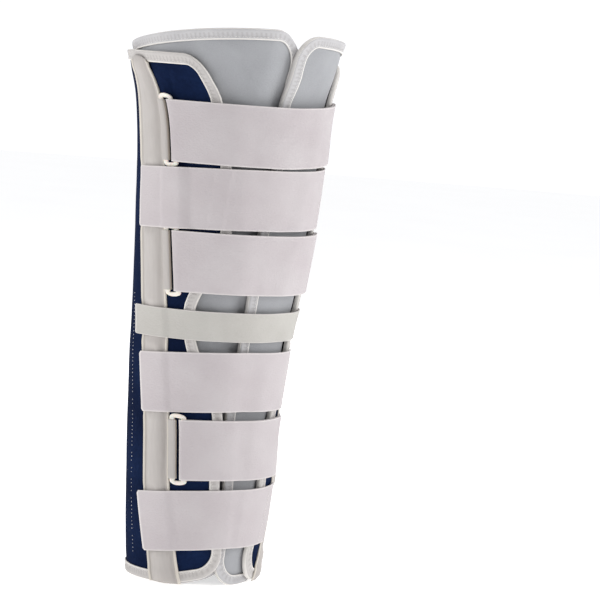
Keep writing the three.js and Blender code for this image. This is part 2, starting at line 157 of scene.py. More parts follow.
# How far the outer flap laps past the middle of the front, and the under flap the other way, as shares
FLAP_EDGE = [
    {"at": 0, "outer": 1, "under": 0.6},
    {"at": 0.2, "outer": 1.03, "under": 0.7},
    {"at": 0.33, "outer": 1.35, "under": 0.8},
    {"at": 0.44, "outer": 0.95, "under": 1},
    {"at": 0.68, "outer": 0.9, "under": 1.2},
    {"at": 0.8, "outer": 0.3, "under": 1},
    {"at": 0.91, "outer": 0.25, "under": 1.35},
    {"at": 0.98, "outer": -0.15, "under": 1.35},
    {"at": 1.06, "outer": -0.4, "under": 0.5},
]

# The stay sleeves' middle line and width, as shares of its arc from the back and of the full width, and how
# many millimetres further back the sewn cloth reaches
STAY_LINE = [
    {"at": 0, "share": 0.965, "wide": 1, "back": 2},
    {"at": 0.26, "share": 0.997, "wide": 0.86, "back": 5.5},
    {"at": 0.54, "share": 1, "wide": 1.03, "back": 5},
    {"at": 0.67, "share": 1.012, "wide": 1.06, "back": 8},
    {"at": 0.85, "share": 1.036, "wide": 1.13, "back": 11},
    {"at": 0.92, "share": 1.045, "wide": 1.08, "back": 10},
    {"at": 0.98, "share": 1.07, "wide": 0.95, "back": 6},
    {"at": 1.06, "share": 1.1, "wide": 0.85, "back": 3},
]

# The straps from the top down: the free height above each, how far the near end drops and the far end
# rises, and how the near end is held. Strap 2 ends on the stay too, over the loops' arms.
STRAPS = [
    {"number": 1, "above": 0.325, "wide": STRAP_WIDE, "drop": 0, "rise": 7.5, "held": "loop"},
    {"number": 2, "above": 0.014, "wide": STRAP_WIDE, "drop": 6, "rise": 4, "held": "loops below", "past": 0},
    {"number": 3, "above": 0.03, "wide": STRAP_WIDE, "drop": 1.5, "rise": 2, "held": "loop"},
    {"number": 4, "above": 0.131, "wide": STRAP_NARROW, "drop": 1, "rise": 2, "held": "stay", "past": 12},
    {"number": 5, "above": 0.072, "wide": STRAP_WIDE, "drop": 10, "rise": -1, "held": "stay", "past": 3},
    {"number": 6, "above": 0.0625, "wide": STRAP_WIDE, "drop": 6, "rise": 2, "held": "loop"},
    {"number": 7, "above": 0.069, "wide": STRAP_WIDE, "drop": 13, "rise": 3, "held": "stay", "past": 8},
]

# How far the lower corner of a free end lies forward of its middle
END_LEAN = {2: -0.6, 4: 0.5, 5: 1.3, 7: 1.9}

# Creases and soft hollows: which piece, the arc from the back, the height, half their length, half their
# width, their lean in degrees from upright, and their depth
DENTS = [
    {"on": "shell", "arc": 223, "z": 575, "long": 20, "wide": 3, "lean": 19, "deep": 1.5},
    {"on": "shell", "arc": 212, "z": 580, "long": 24, "wide": 7, "lean": 12, "deep": -0.7},
    {"on": "shell", "arc": 244, "z": 572, "long": 26, "wide": 9, "lean": 8, "deep": 0.6},
    {"on": "liner_foam", "arc": 326, "z": 590, "long": 22, "wide": 2.4, "lean": -20, "deep": 1.3},
    {"on": "liner_foam", "arc": 312, "z": 588, "long": 36, "wide": 11, "lean": -18, "deep": 0.9},
    {"on": "liner_foam", "arc": -322, "z": 560, "long": 60, "wide": 10, "lean": 4, "deep": 0.7},
]

# Mesh steps
PANEL_COLUMNS = 260
LINER_COLUMNS = 300
PANEL_ROWS = 200
CORNER_ROWS = 14
TAPE_STEP = 1.2
STRAP_STEP = 2.5
STRAP_ROWS = 26
STAY_ROWS = 260
TAB_ROWS = 24
FOLD_STEPS = 12
CORNER_STEPS = 24
LOOP_SAMPLES = 28
LOOP_ROUND_STEPS = 16

# Camera
CAMERA_TURN = math.radians(-32)
CAMERA_AWAY = 3200
CAMERA_HEIGHT = 610
CAMERA_PITCH = math.radians(4.95)
CAMERA_ROLL = math.radians(4.4)
CAMERA_YAW = math.radians(1.86)
CAMERA_LENS = 165.54
SENSOR = 36


def ramp(x, start, end):
    """A smooth climb from 0 to 1 between two values."""
    t = min(max((x - start) / (end - start), 0), 1)
    return t * t * (3 - 2 * t)


def mix(a, b, t):
    return a + (b - a) * t


def look_up(table, column, at):
    """A smooth curve through one column of a table."""
    last = len(table) - 1
    x = min(max(at, table[0]["at"]), table[last]["at"])
    i = 0
    while i < last - 1 and x > table[i + 1]["at"]:
        i += 1

    def slope(k):
        a, b = table[max(k - 1, 0)], table[min(k + 1, last)]
        return (b[column] - a[column]) / (b["at"] - a["at"])

    run = table[i + 1]["at"] - table[i]["at"]
    t = (x - table[i]["at"]) / run
    t2, t3 = t * t, t * t * t
    return (
        (2 * t3 - 3 * t2 + 1) * table[i][column]
        + (t3 - 2 * t2 + t) * run * slope(i)
        + (3 * t2 - 2 * t3) * table[i + 1][column]
        + (t3 - t2) * run * slope(i + 1)
    )


@lru_cache(maxsize=None)
def wall_at(step):
    """The outer face's radius and how far it stands forward, at a height in hundredths of a millimetre."""
    share = step / 100 / SHELL_TOP
    return look_up(WALL, "radius", share), THIGH_FORWARD * look_up(WALL, "forward", share)


def radius_at(z):
    return wall_at(round(z * 100))[0]


def forward_at(z):
    return wall_at(round(z * 100))[1]


# The frame stands with its box centred on the origin, and the wall's own middle is a little behind that
FRAME_BACK = cad_box[1].y / MM - (radius_at(SHELL_TOP) + TAPE_THICK - forward_at(SHELL_TOP))


def on_wall(arc, z, off):
    """The point at an arc along the shell's outer face from the middle of the back, near side positive,
    at a height, and off the face by so much, in metres."""
    radius, forward = wall_at(round(z * 100))
    turn = arc / radius
    reach = radius + off
    x = -reach * math.sin(turn)
    y = reach * math.cos(turn) - forward + FRAME_BACK
    return Vector((x, y, z)) * MM


def dent(piece, arc, z):
    """How deep the creases and hollows of one piece are at a point."""
    deep = 0
    for row in DENTS:
        if row["on"] != piece:
            continue
        lean = math.radians(row["lean"])
        across, along = arc - row["arc"], z - row["z"]
        side = (across * math.cos(lean) - along * math.sin(lean)) / row["wide"]
        run = (across * math.sin(lean) + along * math.cos(lean)) / row["long"]
        if abs(side) < 3 and abs(run) < 3:
            deep += row["deep"] * math.exp(-side * side - run * run)
    return deep


def soft(arc, z, size, seed):
    """A slow unevenness between -1 and 1, as hand-sewn cloth has, over about the size given."""
    return noise.noise(Vector((arc / size, z / size, seed)))


# Materials


def linear(hex_colour):
    """An sRGB hex colour as linear red, green, blue and alpha."""
    channels = [int(hex_colour[i : i + 2], 16) / 255 for i in (1, 3, 5)]
    return [c / 12.92 if c <= 0.04045 else ((c + 0.055) / 1.055) ** 2.4 for c in channels] + [1]


def add(tree, kind, inputs=None, **settings):
    """Adds a node with its settings. Each input is a value, or the socket that it is linked from."""
    made = tree.nodes.new(kind)
    for name, value in settings.items():
        setattr(made, name, value)
    for key, value in (inputs or {}).items():
        if isinstance(value, bpy.types.NodeSocket):
            tree.links.new(value, made.inputs[key])
        else:
            made.inputs[key].default_value = value
    return made


def new_material(name, roughness, gloss=0.5, sheen=0.0, subsurface=0.0):
    """A material with its shader's constant values set, and the flat cloth's coordinates in metres."""
    material = bpy.data.materials.new(name)
    material.use_nodes = True
    tree = material.node_tree
    shader = tree.nodes["Principled BSDF"]
    shader.inputs["Roughness"].default_value = roughness
    shader.inputs["Specular IOR Level"].default_value = gloss
    shader.inputs["Sheen Weight"].default_value = sheen
    shader.inputs["Sheen Roughness"].default_value = 0.5
    shader.inputs["Subsurface Weight"].default_value = subsurface
    shader.inputs["Subsurface Scale"].default_value = 0.002
    flat = add(tree, "ShaderNodeUVMap", uv_map="flat").outputs["UV"]
    return material, tree, shader, flat


def threads(tree, flat, pitch, direction):
    """Ribs of thread at a real pitch in metres, running across one direction of the flat cloth."""
    wave = add(
        tree,
        "ShaderNodeTexWave",
        {"Vector": flat, "Scale": math.tau / 20 / pitch, "Distortion": 0.0},
        bands_direction=direction,
    )
    return wave.outputs["Fac"]


def blotches(tree, vector, size, low, high, detail=3.0):
    """Soft noise over a real size in metres, stretched to run from 0 at low to 1 at high."""
    cloud = add(tree, "ShaderNodeTexNoise", {"Vector": vector, "Scale": 1 / size, "Detail": detail})
    spread = {"Value": cloud.outputs["Fac"], "From Min": low, "From Max": high}
    return add(tree, "ShaderNodeMapRange", spread).outputs["Result"]


def blend_colours(tree, share, first, second, way="MIX"):
    """Two colours mixed by a share. Each is a hex value or a socket."""
    values = [linear(c) if isinstance(c, str) else c for c in (first, second)]
    node = add(tree, "ShaderNodeMix", data_type="RGBA", blend_type=way)
    for key, value in ((0, share), (6, values[0]), (7, values[1])):
        if isinstance(value, bpy.types.NodeSocket):
            tree.links.new(value, node.inputs[key])
        else:
            node.inputs[key].default_value = value
    return node.outputs[2]


def maths(tree, operation, first, second=0.5):
    return add(tree, "ShaderNodeMath", {0: first, 1: second}, operation=operation).outputs[0]


def in_band(tree, value, middle, half):
    """1 where a value in metres lies within a band given in millimetres, else 0."""
    band = maths(tree, "COMPARE", value, middle * MM)
    band.node.inputs[2].default_value = half * MM
    return band


def raise_bump(tree, shader, layers):
    """Bump from heights, each with its real depth in metres, one on top of the other."""
    normal = None
    for height, depth in layers:
        inputs = {"Height": height, "Strength": 1.0, "Distance": depth}
        if normal is not None:
            inputs["Normal"] = normal
        normal = add(tree, "ShaderNodeBump", inputs).outputs["Normal"]
    tree.links.new(normal, shader.inputs["Normal"])


def woven_nylon_laminate():
    """Navy nylon cloth bonded to foam: a plain weave of fine dull threads, greyer where it is worn.
    The threads are 0.4 mm apart in life and drawn 1.2 mm apart, so that they show."""
    material, tree, shader, flat = new_material("woven nylon laminate", roughness=0.9, gloss=0.03)
    weave = maths(tree, "MULTIPLY", threads(tree, flat, 0.0012, "X"), threads(tree, flat, 0.0012, "Y"))
    faded = blotches(tree, flat, 0.08, 0.35, 0.68)
    slub = blotches(tree, flat, 0.004, 0.3, 0.7, detail=2.0)
    base = blend_colours(tree, faded, "#0e172f", "#172646")
    threaded = blend_colours(tree, maths(tree, "MULTIPLY", weave, 0.4), base, "#1d2f58")
    colour = blend_colours(tree, maths(tree, "MULTIPLY", slub, 0.35), threaded, "#091023")
    tree.links.new(colour, shader.inputs["Base Color"])
    raise_bump(tree, shader, [(faded, 0.0006), (weave, 0.00025)])
    return material


def brushed_foam_face():
    """Grey foam with a brushed skin: matt and cloudy, with a short soft nap."""
    material, tree, shader, flat = new_material("brushed foam face", roughness=0.85, gloss=0.15, sheen=0.1)
    cloud = blotches(tree, flat, 0.05, 0.35, 0.7)
    nap = blotches(tree, flat, 0.0016, 0.3, 0.75, detail=6.0)
    base = blend_colours(tree, cloud, "#959699", "#9fa0a3")
    colour = blend_colours(tree, maths(tree, "MULTIPLY", nap, 0.35), base, "#abacaf")
    tree.links.new(colour, shader.inputs["Base Color"])
    raise_bump(tree, shader, [(cloud, 0.0008), (nap, 0.00014)])
    return material


def binding_tape(name, pale, shaded):
    """Knitted binding tape, ribbed across at 1.2 mm. It has painted shade in the puckers where each stitch
    pulls it down, and a painted highlight that makes it pale along its rim and its hem."""
    material, tree, shader, flat = new_material(name, roughness=0.75, gloss=0.15, sheen=0.05)
    ribs = threads(tree, flat, 0.0012, "X")
    across = add(tree, "ShaderNodeSeparateXYZ", {"Vector": flat}).outputs["Y"]
    deep = maths(tree, "ABSOLUTE", across)
    pull = maths(tree, "POWER", threads(tree, flat, PUCKER * MM, "X"), 2.0)
    # Painted shade: darker in a band along the seam at each pucker
    pucker_shade = maths(tree, "MULTIPLY", pull, in_band(tree, deep, SEAM_DEEP, SEAM_HALF))
    hem = maths(tree, "GREATER_THAN", deep, (TAPE_WIDE - HEM_HIGHLIGHT) * MM)
    rim = maths(tree, "LESS_THAN", deep, RIM_HIGHLIGHT * MM)
    soil = blotches(tree, flat, 0.03, 0.3, 0.75)
    base = blend_colours(tree, soil, shaded, pale)
    ribbed = blend_colours(tree, maths(tree, "MULTIPLY", ribs, 0.25), base, "#cac6c4")
    pucker_shaded = blend_colours(tree, maths(tree, "MULTIPLY", pucker_shade, 0.3), ribbed, "#8f8a88")
    # Painted highlight: paler along the rim and the hem
    edge_highlight = maths(tree, "MULTIPLY", maths(tree, "ADD", hem, rim), 0.7)
    colour = blend_colours(tree, edge_highlight, pucker_shaded, "#ece8e2")
    tree.links.new(colour, shader.inputs["Base Color"])
    raise_bump(tree, shader, [(soil, 0.0004), (ribs, 0.00015)])
    return material


def brushed_loop_webbing(name, pale, shaded):
    """Brushed loop webbing: a dense short nap over a flat band, combed along its length and a little
    pinker where it is shaded, with closer woven selvedges that a painted highlight makes paler, and a
    painted highlight along its end or fold."""
    material, tree, shader, flat = new_material(name, roughness=0.85, gloss=0.15, sheen=0.08)
    cloud = blotches(tree, flat, 0.06, 0.3, 0.72)
    combed = add(tree, "ShaderNodeMapping", {"Vector": flat, "Scale": (0.25, 1.0, 1.0)}).outputs["Vector"]
    nap = blotches(tree, combed, 0.0011, 0.25, 0.8, detail=5.0)
    speck = blotches(tree, flat, 0.0024, 0.35, 0.75, detail=2.0)
    base = blend_colours(tree, cloud, shaded, pale)
    napped = blend_colours(tree, maths(tree, "MULTIPLY", nap, 0.2), base, "#ccc6c7")
    share = add(tree, "ShaderNodeUVMap", uv_map="share").outputs["UV"]
    across = add(tree, "ShaderNodeSeparateXYZ", {"Vector": share}).outputs["Y"]
    from_middle = maths(tree, "ABSOLUTE", maths(tree, "SUBTRACT", across, 0.5))
    # Painted highlight along both long edges, on selvedges that are also closer woven
    edge = add(tree, "ShaderNodeMapRange", {"Value": from_middle, "From Min": 0.47, "From Max": 0.49})
    colour = blend_colours(tree, maths(tree, "MULTIPLY", edge.outputs["Result"], 0.5), napped, "#dcd7d4")
    # Painted highlight along the end or the fold, whichever edge shows
    from_end = maths(tree, "ABSOLUTE", add(tree, "ShaderNodeSeparateXYZ", {"Vector": flat}).outputs["X"])
    end_highlight = add(tree, "ShaderNodeMapRange", {"Value": from_end, "From Min": 0.0034, "From Max": 0.001})
    colour = blend_colours(tree, maths(tree, "MULTIPLY", end_highlight.outputs["Result"], 0.7), colour, "#e6e1de")
    tree.links.new(colour, shader.inputs["Base Color"])
    raise_bump(tree, shader, [(cloud, 0.0006), (speck, 0.00014), (nap, 0.00014)])
    return material


def coated_cloth(name, piped):
    """Smooth coated cloth with a faint upright grain and a low satin shine. A piped piece has a creamy
    corded edge on each side, with painted shade in the sewn groove inside it, and a plain one has a
    painted shadow, tan, along its fold, where the strap beside it shades it."""
    material, tree, shader, flat = new_material(name, roughness=0.6, gloss=0.25, sheen=0.05)
    grain = add(tree, "ShaderNodeMapping", {"Vector": flat, "Scale": (1.0, 0.12, 1.0)}).outputs["Vector"]
    streak = blotches(tree, grain, 0.0028, 0.3, 0.75)
    cloud = blotches(tree, flat, 0.05, 0.3, 0.75)
    base = blend_colours(tree, cloud, "#aca6a2", "#b5b0ac")
    colour = blend_colours(tree, maths(tree, "MULTIPLY", streak, 0.3), base, "#c2bdb9")
    along = add(tree, "ShaderNodeSeparateXYZ", {"Vector": flat}).outputs["X"]
    if not piped:
        # Painted shadow along the tab's fold, cast by the strap beside it
        fold = in_band(tree, along, TAB_FOLD, TAB_FOLD_HALF)
        colour = blend_colours(tree, maths(tree, "MULTIPLY", fold, 0.6), colour, "#9c917f")
    else:
        out = maths(tree, "ABSOLUTE", along)
        # Painted shade in the sewn groove inside each cord
        groove = in_band(tree, out, GROOVE_OUT, GROOVE_HALF)
        cord = maths(tree, "GREATER_THAN", out, (GROOVE_OUT + GROOVE_HALF) * MM)
        colour = blend_colours(tree, maths(tree, "MULTIPLY", groove, 0.35), colour, "#a09a93")
        colour = blend_colours(tree, maths(tree, "MULTIPLY", cord, 0.55), colour, "#dfd8ca")
    tree.links.new(colour, shader.inputs["Base Color"])
    raise_bump(tree, shader, [(cloud, 0.0004), (streak, 0.0001)])
    return material


def moulded_nylon():
    """Injection-moulded white nylon: a soft gloss with a faint flow and handling scuffs."""
    material, tree, shader, _flat = new_material("moulded nylon", roughness=0.35, subsurface=0.15)
    shader.inputs["IOR"].default_value = 1.53
    place = add(tree, "ShaderNodeTexCoord").outputs["Object"]
    flow = blotches(tree, place, 0.012, 0.3, 0.7)
    scuff = blotches(tree, place, 0.0012, 0.45, 0.75)
    colour = blend_colours(tree, flow, "#ddd6cc", "#e8e2d8")
    tree.links.new(colour, shader.inputs["Base Color"])
    rough = {"Value": scuff, "To Min": 0.3, "To Max": 0.5}
    tree.links.new(add(tree, "ShaderNodeMapRange", rough).outputs["Result"], shader.inputs["Roughness"])
    raise_bump(tree, shader, [(scuff, 0.00004)])
    return material


def sewing_thread(name, colour):
    """Twisted polyester thread, a little glossy."""
    material, tree, shader, _flat = new_material(name, roughness=0.5, gloss=0.3)
    place = add(tree, "ShaderNodeTexCoord").outputs["Object"]
    twist = blotches(tree, place, 0.0008, 0.3, 0.7)
    tree.links.new(blend_colours(tree, twist, colour, "#e9e6e2"), shader.inputs["Base Color"])
    return material


def pale_floor():
    """A matt painted studio floor with a barely visible mottle."""
    material, tree, shader, _flat = new_material("matt painted floor", roughness=0.95, gloss=0.1)
    place = add(tree, "ShaderNodeTexCoord").outputs["Object"]
    mottle = blotches(tree, place, 0.4, 0.3, 0.7)
    tree.links.new(blend_colours(tree, mottle, "#f4f4f4", "#f8f8f8"), shader.inputs["Base Color"])
    shader.inputs["Emission Color"].default_value = linear("#ffffff")
    shader.inputs["Emission Strength"].default_value = 0.55
    return material


# Making pieces


def cloth_grid(name, columns, rows, place, lay, finish, closed=False, weight=None):
    """A piece of cloth as a grid. place(u, v) gives the point for the shares across and up, and lay(u, v)
    where it lies in the flat cloth, in millimetres; closed joins the first column to the last."""
    bm = bmesh.new()
    bmesh.ops.create_grid(bm, x_segments=columns, y_segments=rows, size=0.5)
    flat = bm.loops.layers.uv.new("flat")
    share = bm.loops.layers.uv.new("share")
    full = bm.verts.layers.deform.new() if weight else None
    spots = {vert: (vert.co.x + 0.5, vert.co.y + 0.5) for vert in bm.verts}
    for face in bm.faces:
        for loop in face.loops:
            u, v = spots[loop.vert]
            loop[flat].uv = Vector(lay(u, v)) * MM
            loop[share].uv = (u, v)
    for vert, (u, v) in spots.items():
        vert.co = place(u, v)
        if weight:
            vert[full][0] = weight(u, v)
    if closed:
        bmesh.ops.remove_doubles(bm, verts=bm.verts, dist=0.00001)
    return finished(name, bm, finish, ["full"] if weight else [])


def flat_lay(width, height):
    """How a plain rectangle of cloth lies flat."""
    return lambda u, v: (u * width, v * height)


def finished(name, bm, finish, groups=()):
    """The object of a mesh, smooth, with its material, riding on the brace."""
    bmesh.ops.recalc_face_normals(bm, faces=bm.faces)
    for face in bm.faces:
        face.smooth = True
    mesh = bpy.data.meshes.new(name)
    bm.to_mesh(mesh)
    bm.free()
    piece = bpy.data.objects.new(name, mesh)
    bpy.context.scene.collection.objects.link(piece)
    mesh.materials.append(finish)
    for group in groups:
        piece.vertex_groups.new(name=group)
    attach(piece, "root")
    return piece


def thicken(piece, thick, round_edge=0.0, group=""):
    """Gives cloth its thickness, half each way, and rounds its cut edges."""
    wall = piece.modifiers.new("wall", "SOLIDIFY")
    wall.thickness = thick * MM
    wall.offset = 0
    if group:
        wall.vertex_group = group
        wall.thickness_vertex_group = 0.0
    if round_edge:
        edge = piece.modifiers.new("edge", "BEVEL")
        edge.width = round_edge * MM
        edge.segments = 3
        edge.limit_method = "ANGLE"
        edge.angle_limit = math.radians(60)


# Panels: the shell and the liner are flat cuts with rounded corners


@dataclass(frozen=True, eq=False)
class Panel:
    """A padded flat cut: its edge at a side and height, its top and foot at an arc, its corners' radii, how
    far it is shifted off its outer face, and its wall."""

    edge: Callable
    top: Callable
    foot: Callable
    top_corner: dict
    foot_corner: dict
    shift: Callable
    face: float
    wall: float


def shell_edge(side, z):
    return SHELL_REACH * look_up(SHELL_EDGE, side, z / SHELL_TOP)


def shell_foot(arc):
    return SHELL_FOOT + SHELL_FOOT_RISE * ramp(abs(arc), SHELL_RISE_START, SHELL_RISE_END)


SHELL = Panel(
    edge=shell_edge,
    top=lambda arc: SHELL_TOP,
    foot=shell_foot,
    top_corner={FAR: SHELL_TOP_CORNER, NEAR: SHELL_TOP_CORNER},
    foot_corner={FAR: SHELL_FOOT_CORNER, NEAR: SHELL_FOOT_CORNER},
    shift=lambda arc, z: 0,
    face=0,
    wall=SHELL_WALL,
)

LINER_FACE = -(SHELL_WALL + TAPE_THICK + PLAY + TAPE_THICK)
UNDER_DEPTH = LINER_WALL + 2 * TAPE_THICK + PLAY


def outer_flap_arc(z):
    return math.pi * radius_at(z) + FLAP_LAP * look_up(FLAP_EDGE, "outer", z / SHELL_TOP)


def under_flap_arc(z):
    return math.pi * radius_at(z) + UNDER_LAP * look_up(FLAP_EDGE, "under", z / SHELL_TOP)


def liner_top(arc):
    front = 0.5 - 0.5 * math.cos(arc / radius_at(SHELL_TOP))
    return SHELL_TOP + front * (LINER_RISE if arc > 0 else OUTER_FLAP_RISE)


def liner_shift(arc, z):
    """The near flap goes under the far one."""
    if arc < 0:
        return 0
    covered = 2 * math.pi * radius_at(z) - outer_flap_arc(z) - PLAY - TAPE_THICK
    return -UNDER_DEPTH * ramp(arc, covered - UNDER_RUN, covered)


LINER = Panel(
    edge=lambda side, z: under_flap_arc(z) if side > 0 else outer_flap_arc(z),
    top=liner_top,
    foot=lambda arc: LINER_FOOT_RISE * ramp(arc, SHELL_RISE_START, SHELL_RISE_END),
    top_corner={FAR: FLAP_TOP_CORNER, NEAR: UNDER_TOP_CORNER},
    foot_corner={FAR: FLAP_FOOT_CORNER, NEAR: FLAP_FOOT_CORNER},
    shift=liner_shift,
    face=LINER_FACE,
    wall=LINER_WALL,
)


def panel_row(v):
    """Where a share of the height falls: turned so far into the foot or top corner, or between them."""
    corner = CORNER_ROWS / PANEL_ROWS
    if v < corner:
        return "foot", v / corner * math.pi / 2
    if v > 1 - corner:
        return "top", (1 - v) / corner * math.pi / 2
    return "between", (v - corner) / (1 - 2 * corner)


@lru_cache(maxsize=None)
def row_ends(panel, inset, row):
    """The far and near ends of a row of a panel: the arc, how deep the row is drawn into a corner, and the
    radii of the foot and top corners."""
    kind, value = row
    ends = []
    for side in (FAR, NEAR):
        foot = max(panel.foot_corner[side] - inset, 1)
        top = max(panel.top_corner[side] - inset, 1)
        reach = panel.edge(side, SHELL_TOP / 2) * side
        low, high = panel.foot(reach) + inset, panel.top(reach) - inset
        radius = foot if kind == "foot" else top
        turned = math.pi / 2 if kind == "between" else value
        deep = radius * (1 - math.cos(turned))
        if kind == "foot":
            z = low + deep
        elif kind == "top":
            z = high - deep
        else:
            z = low + foot + value * (high - top - low - foot)
        slope = (panel.edge(side, z + 1) - panel.edge(side, z - 1)) / 2
        edge = panel.edge(side, z) - inset * math.hypot(1, slope)
        ends.append((side * (edge - radius * (1 - math.sin(turned))), deep, foot, top))
    return ends


def panel_spot(panel, inset, u, row):
    """The arc and height of a point of a flat panel, drawn in from its outline by an inset."""
    kind, value = row
    arc, deep, foot, top = (mix(a, b, u) for a, b in zip(*row_ends(panel, inset, row)))
    low, high = panel.foot(arc) + inset, panel.top(arc) - inset
    if kind == "foot":
        return arc, low + deep
    if kind == "top":
        return arc, high - deep
    return arc, low + foot + value * (high - top - low - foot)


def panel_outline(panel, inset):
    """Points round a panel's outline about one tape step apart, as arcs and heights."""
    across = round(2 * panel.edge(NEAR, SHELL_TOP / 2) / TAPE_STEP)
    up = round(SHELL_TOP / TAPE_STEP)
    turn = CORNER_STEPS
    foot = [("foot", math.pi / 2 * k / turn) for k in range(turn)]
    middle = [("between", k / up) for k in range(up)]
    top = [("top", math.pi / 2 * (1 - k / turn)) for k in range(turn)]
    rows = foot + middle + top
    spots = [(k / across, ("foot", 0)) for k in range(across)]
    spots += [(1, row) for row in rows]
    spots += [(1 - k / across, ("top", 0)) for k in range(across)]
    spots += [(0, row) for row in [("top", 0), *reversed(rows[1:])]]
    return [panel_spot(panel, inset, u, row) for u, row in spots]


PINCH_RUN = 10
PINCH = 0.42


def panel_piece(name, panel, columns, finish, unevenness):
    """The panel's padded wall. It thins towards the binding that is sewn over its edge."""
    under_tape = TAPE_WIDE / 2
    width = 2 * panel.edge(NEAR, SHELL_TOP / 2)

    def spot(u, v):
        return panel_spot(panel, under_tape, u, panel_row(v))

    def place(u, v):
        arc, z = spot(u, v)
        uneven = 0.5 * soft(arc, z, 60, 3.1) + 0.2 * soft(arc, z, 17, 7.7)
        off = panel.face - panel.wall / 2 + panel.shift(arc, z) + uneven * unevenness - dent(name, arc, z)
        return on_wall(arc, z, off)

    def fullness(u, v):
        arc, z = spot(u, v)
        edge = panel.edge(NEAR if arc > 0 else FAR, z) - abs(arc)
        inside = min(edge, z - panel.foot(arc), panel.top(arc) - z) - TAPE_WIDE
        return 1 - PINCH * math.exp(-max(inside, 0) / PINCH_RUN)

    flat = flat_lay(width, SHELL_TOP)
    piece = cloth_grid(name, columns, PANEL_ROWS, place, flat, finish, weight=fullness)
    thicken(piece, panel.wall, group="full")
    return piece


# The tape's section from its inner hem to the panel's edge: how far in from the edge, and how far off the
# panel's face. The hem is folded under, so it stands proud, and the seam pulls the middle down.
TAPE_SECTION = [
    {"deep": 12.3, "off": -0.1},
    {"deep": 12.2, "off": 0.8},
    {"deep": 11.7, "off": 1.2},
    {"deep": 10.9, "off": 1.1},
    {"deep": 9.8, "off": 0.75},
    {"deep": 8.2, "off": 0.6},
    {"deep": 6.4, "off": 0.75},
    {"deep": 4.6, "off": 1.0},
    {"deep": 3.2, "off": 1.15},
    {"deep": 1.9, "off": 1.0},
    {"deep": 0.8, "off": 0.55},
]
SEAM_DEEP = 7
SEAM_HALF = 2.6
# How wide the painted highlight is along the tape's hem, and along its rim
HEM_HIGHLIGHT = 1
RIM_HIGHLIGHT = 1.2
TAPE_PLY = 0.5
PUCKER = 4.8
PUCKER_DEEP = 0.5


def tape_section(step, wall):
    """How far in from the edge and off the face a step of the tape's section is, and which side it is on:
    it runs from the outer hem round the edge to the inner hem."""
    half = len(TAPE_SECTION)
    if step == half:
        return 0, -wall / 2, 1
    if step < half:
        return TAPE_SECTION[step]["deep"], TAPE_SECTION[step]["off"], 1
    row = TAPE_SECTION[2 * half - step]
    return row["deep"], -wall - row["off"], -1


def tape_piece(name, panel, finish):
    """The binding tape round a panel: a folded strip, drawn down along its seam and puckered there."""
    rim = panel_outline(panel, 0)
    within = panel_outline(panel, TAPE_WIDE)
    count = len(rim)
    rows = 2 * len(TAPE_SECTION)
    length = count * TAPE_STEP

    def place(u, v):
        k = round(u * count) % count
        deep, off, outward = tape_section(round(v * rows), panel.wall)
        inward = deep / TAPE_WIDE
        arc = mix(rim[k][0], within[k][0], inward)
        z = mix(rim[k][1], within[k][1], inward)
        pull = math.exp(-(((deep - SEAM_DEEP) / SEAM_HALF) ** 2))
        uneven = 0.75 + 0.25 * soft(arc, z, 14, 1.9)
        pucker = -PUCKER_DEEP * pull * uneven * (0.5 + 0.5 * math.cos(math.tau * k * TAPE_STEP / PUCKER))
        wobble = 0.25 * soft(arc, z, 24, 5.5)
        return on_wall(arc, z, panel.face + off + panel.shift(arc, z) + outward * (pucker + wobble))

    def lay(u, v):
        deep, _off, outward = tape_section(round(v * rows), panel.wall)
        return u * length, outward * deep

    piece = cloth_grid(name, count, rows, place, lay, finish, closed=True)
    thicken(piece, TAPE_PLY)
    return piece, rim, within


# Stay sleeves


def stay_arc_at(z):
    return STAY_ARC * look_up(STAY_LINE, "share", z / SHELL_TOP)


def stay_half_at(z):
    return STAY_WIDE / 2 * look_up(STAY_LINE, "wide", z / SHELL_TOP)


def stay_edge_at(z):
    return stay_arc_at(z) + stay_half_at(z)


# The sleeve's section from its middle to its edge: how far out as a share of half its width, and how high
# as a share of its thickness. A corded hem runs along the edge, with a sewn groove inside it.
SLEEVE_SECTION = [
    {"out": 0, "high": 1.7},
    {"out": 0.13, "high": 1.65},
    {"out": 0.26, "high": 1.5},
    {"out": 0.38, "high": 1.24},
    {"out": 0.49, "high": 0.9},
    {"out": 0.59, "high": 0.5},
    {"out": 0.66, "high": 0.22},
    {"out": 0.72, "high": 0.09},
    {"out": 0.79, "high": 0.05},
    {"out": 0.83, "high": 0.1},
    {"out": 0.865, "high": 0.42},
    {"out": 0.91, "high": 0.6},
    {"out": 0.955, "high": 0.55},
    {"out": 0.99, "high": 0.28},
    {"out": 1, "high": -0.05},
]
GROOVE_OUT = 14.5
GROOVE_HALF = 0.8
SLEEVE_ROUND = 7
SLEEVE_PLY = 0.8
# How far its foot and its top climb over the binding, and how much of its crown is lost at each end
OVER_FOOT_TAPE = 8
OVER_TOP_TAPE = {"start": 22, "end": 12}
OVER_TAPE_LIFT = 1.5 * TAPE_THICK
TOP_FLAT, TOP_FLAT_RUN = 0.7, 7
FOOT_FLAT, FOOT_FLAT_RUN = 0.6, 5
# How much of the crown a strap presses down, and over what run beside the strap
PRESSED = 0.42
PRESS_RUN = 9


def pressed(z):
    """How far the straps that cross a sleeve press its crown down at a height, from 0 to 1."""
    share = 0
    for strap in STRAPS:
        if strap["held"] != "loop":
            middle = strap_height(strap, math.pi - stay_arc_at(z) / radius_at(z))
            share = max(share, 1 - ramp(abs(z - middle) - strap["wide"] / 2, 0, PRESS_RUN))
    return share


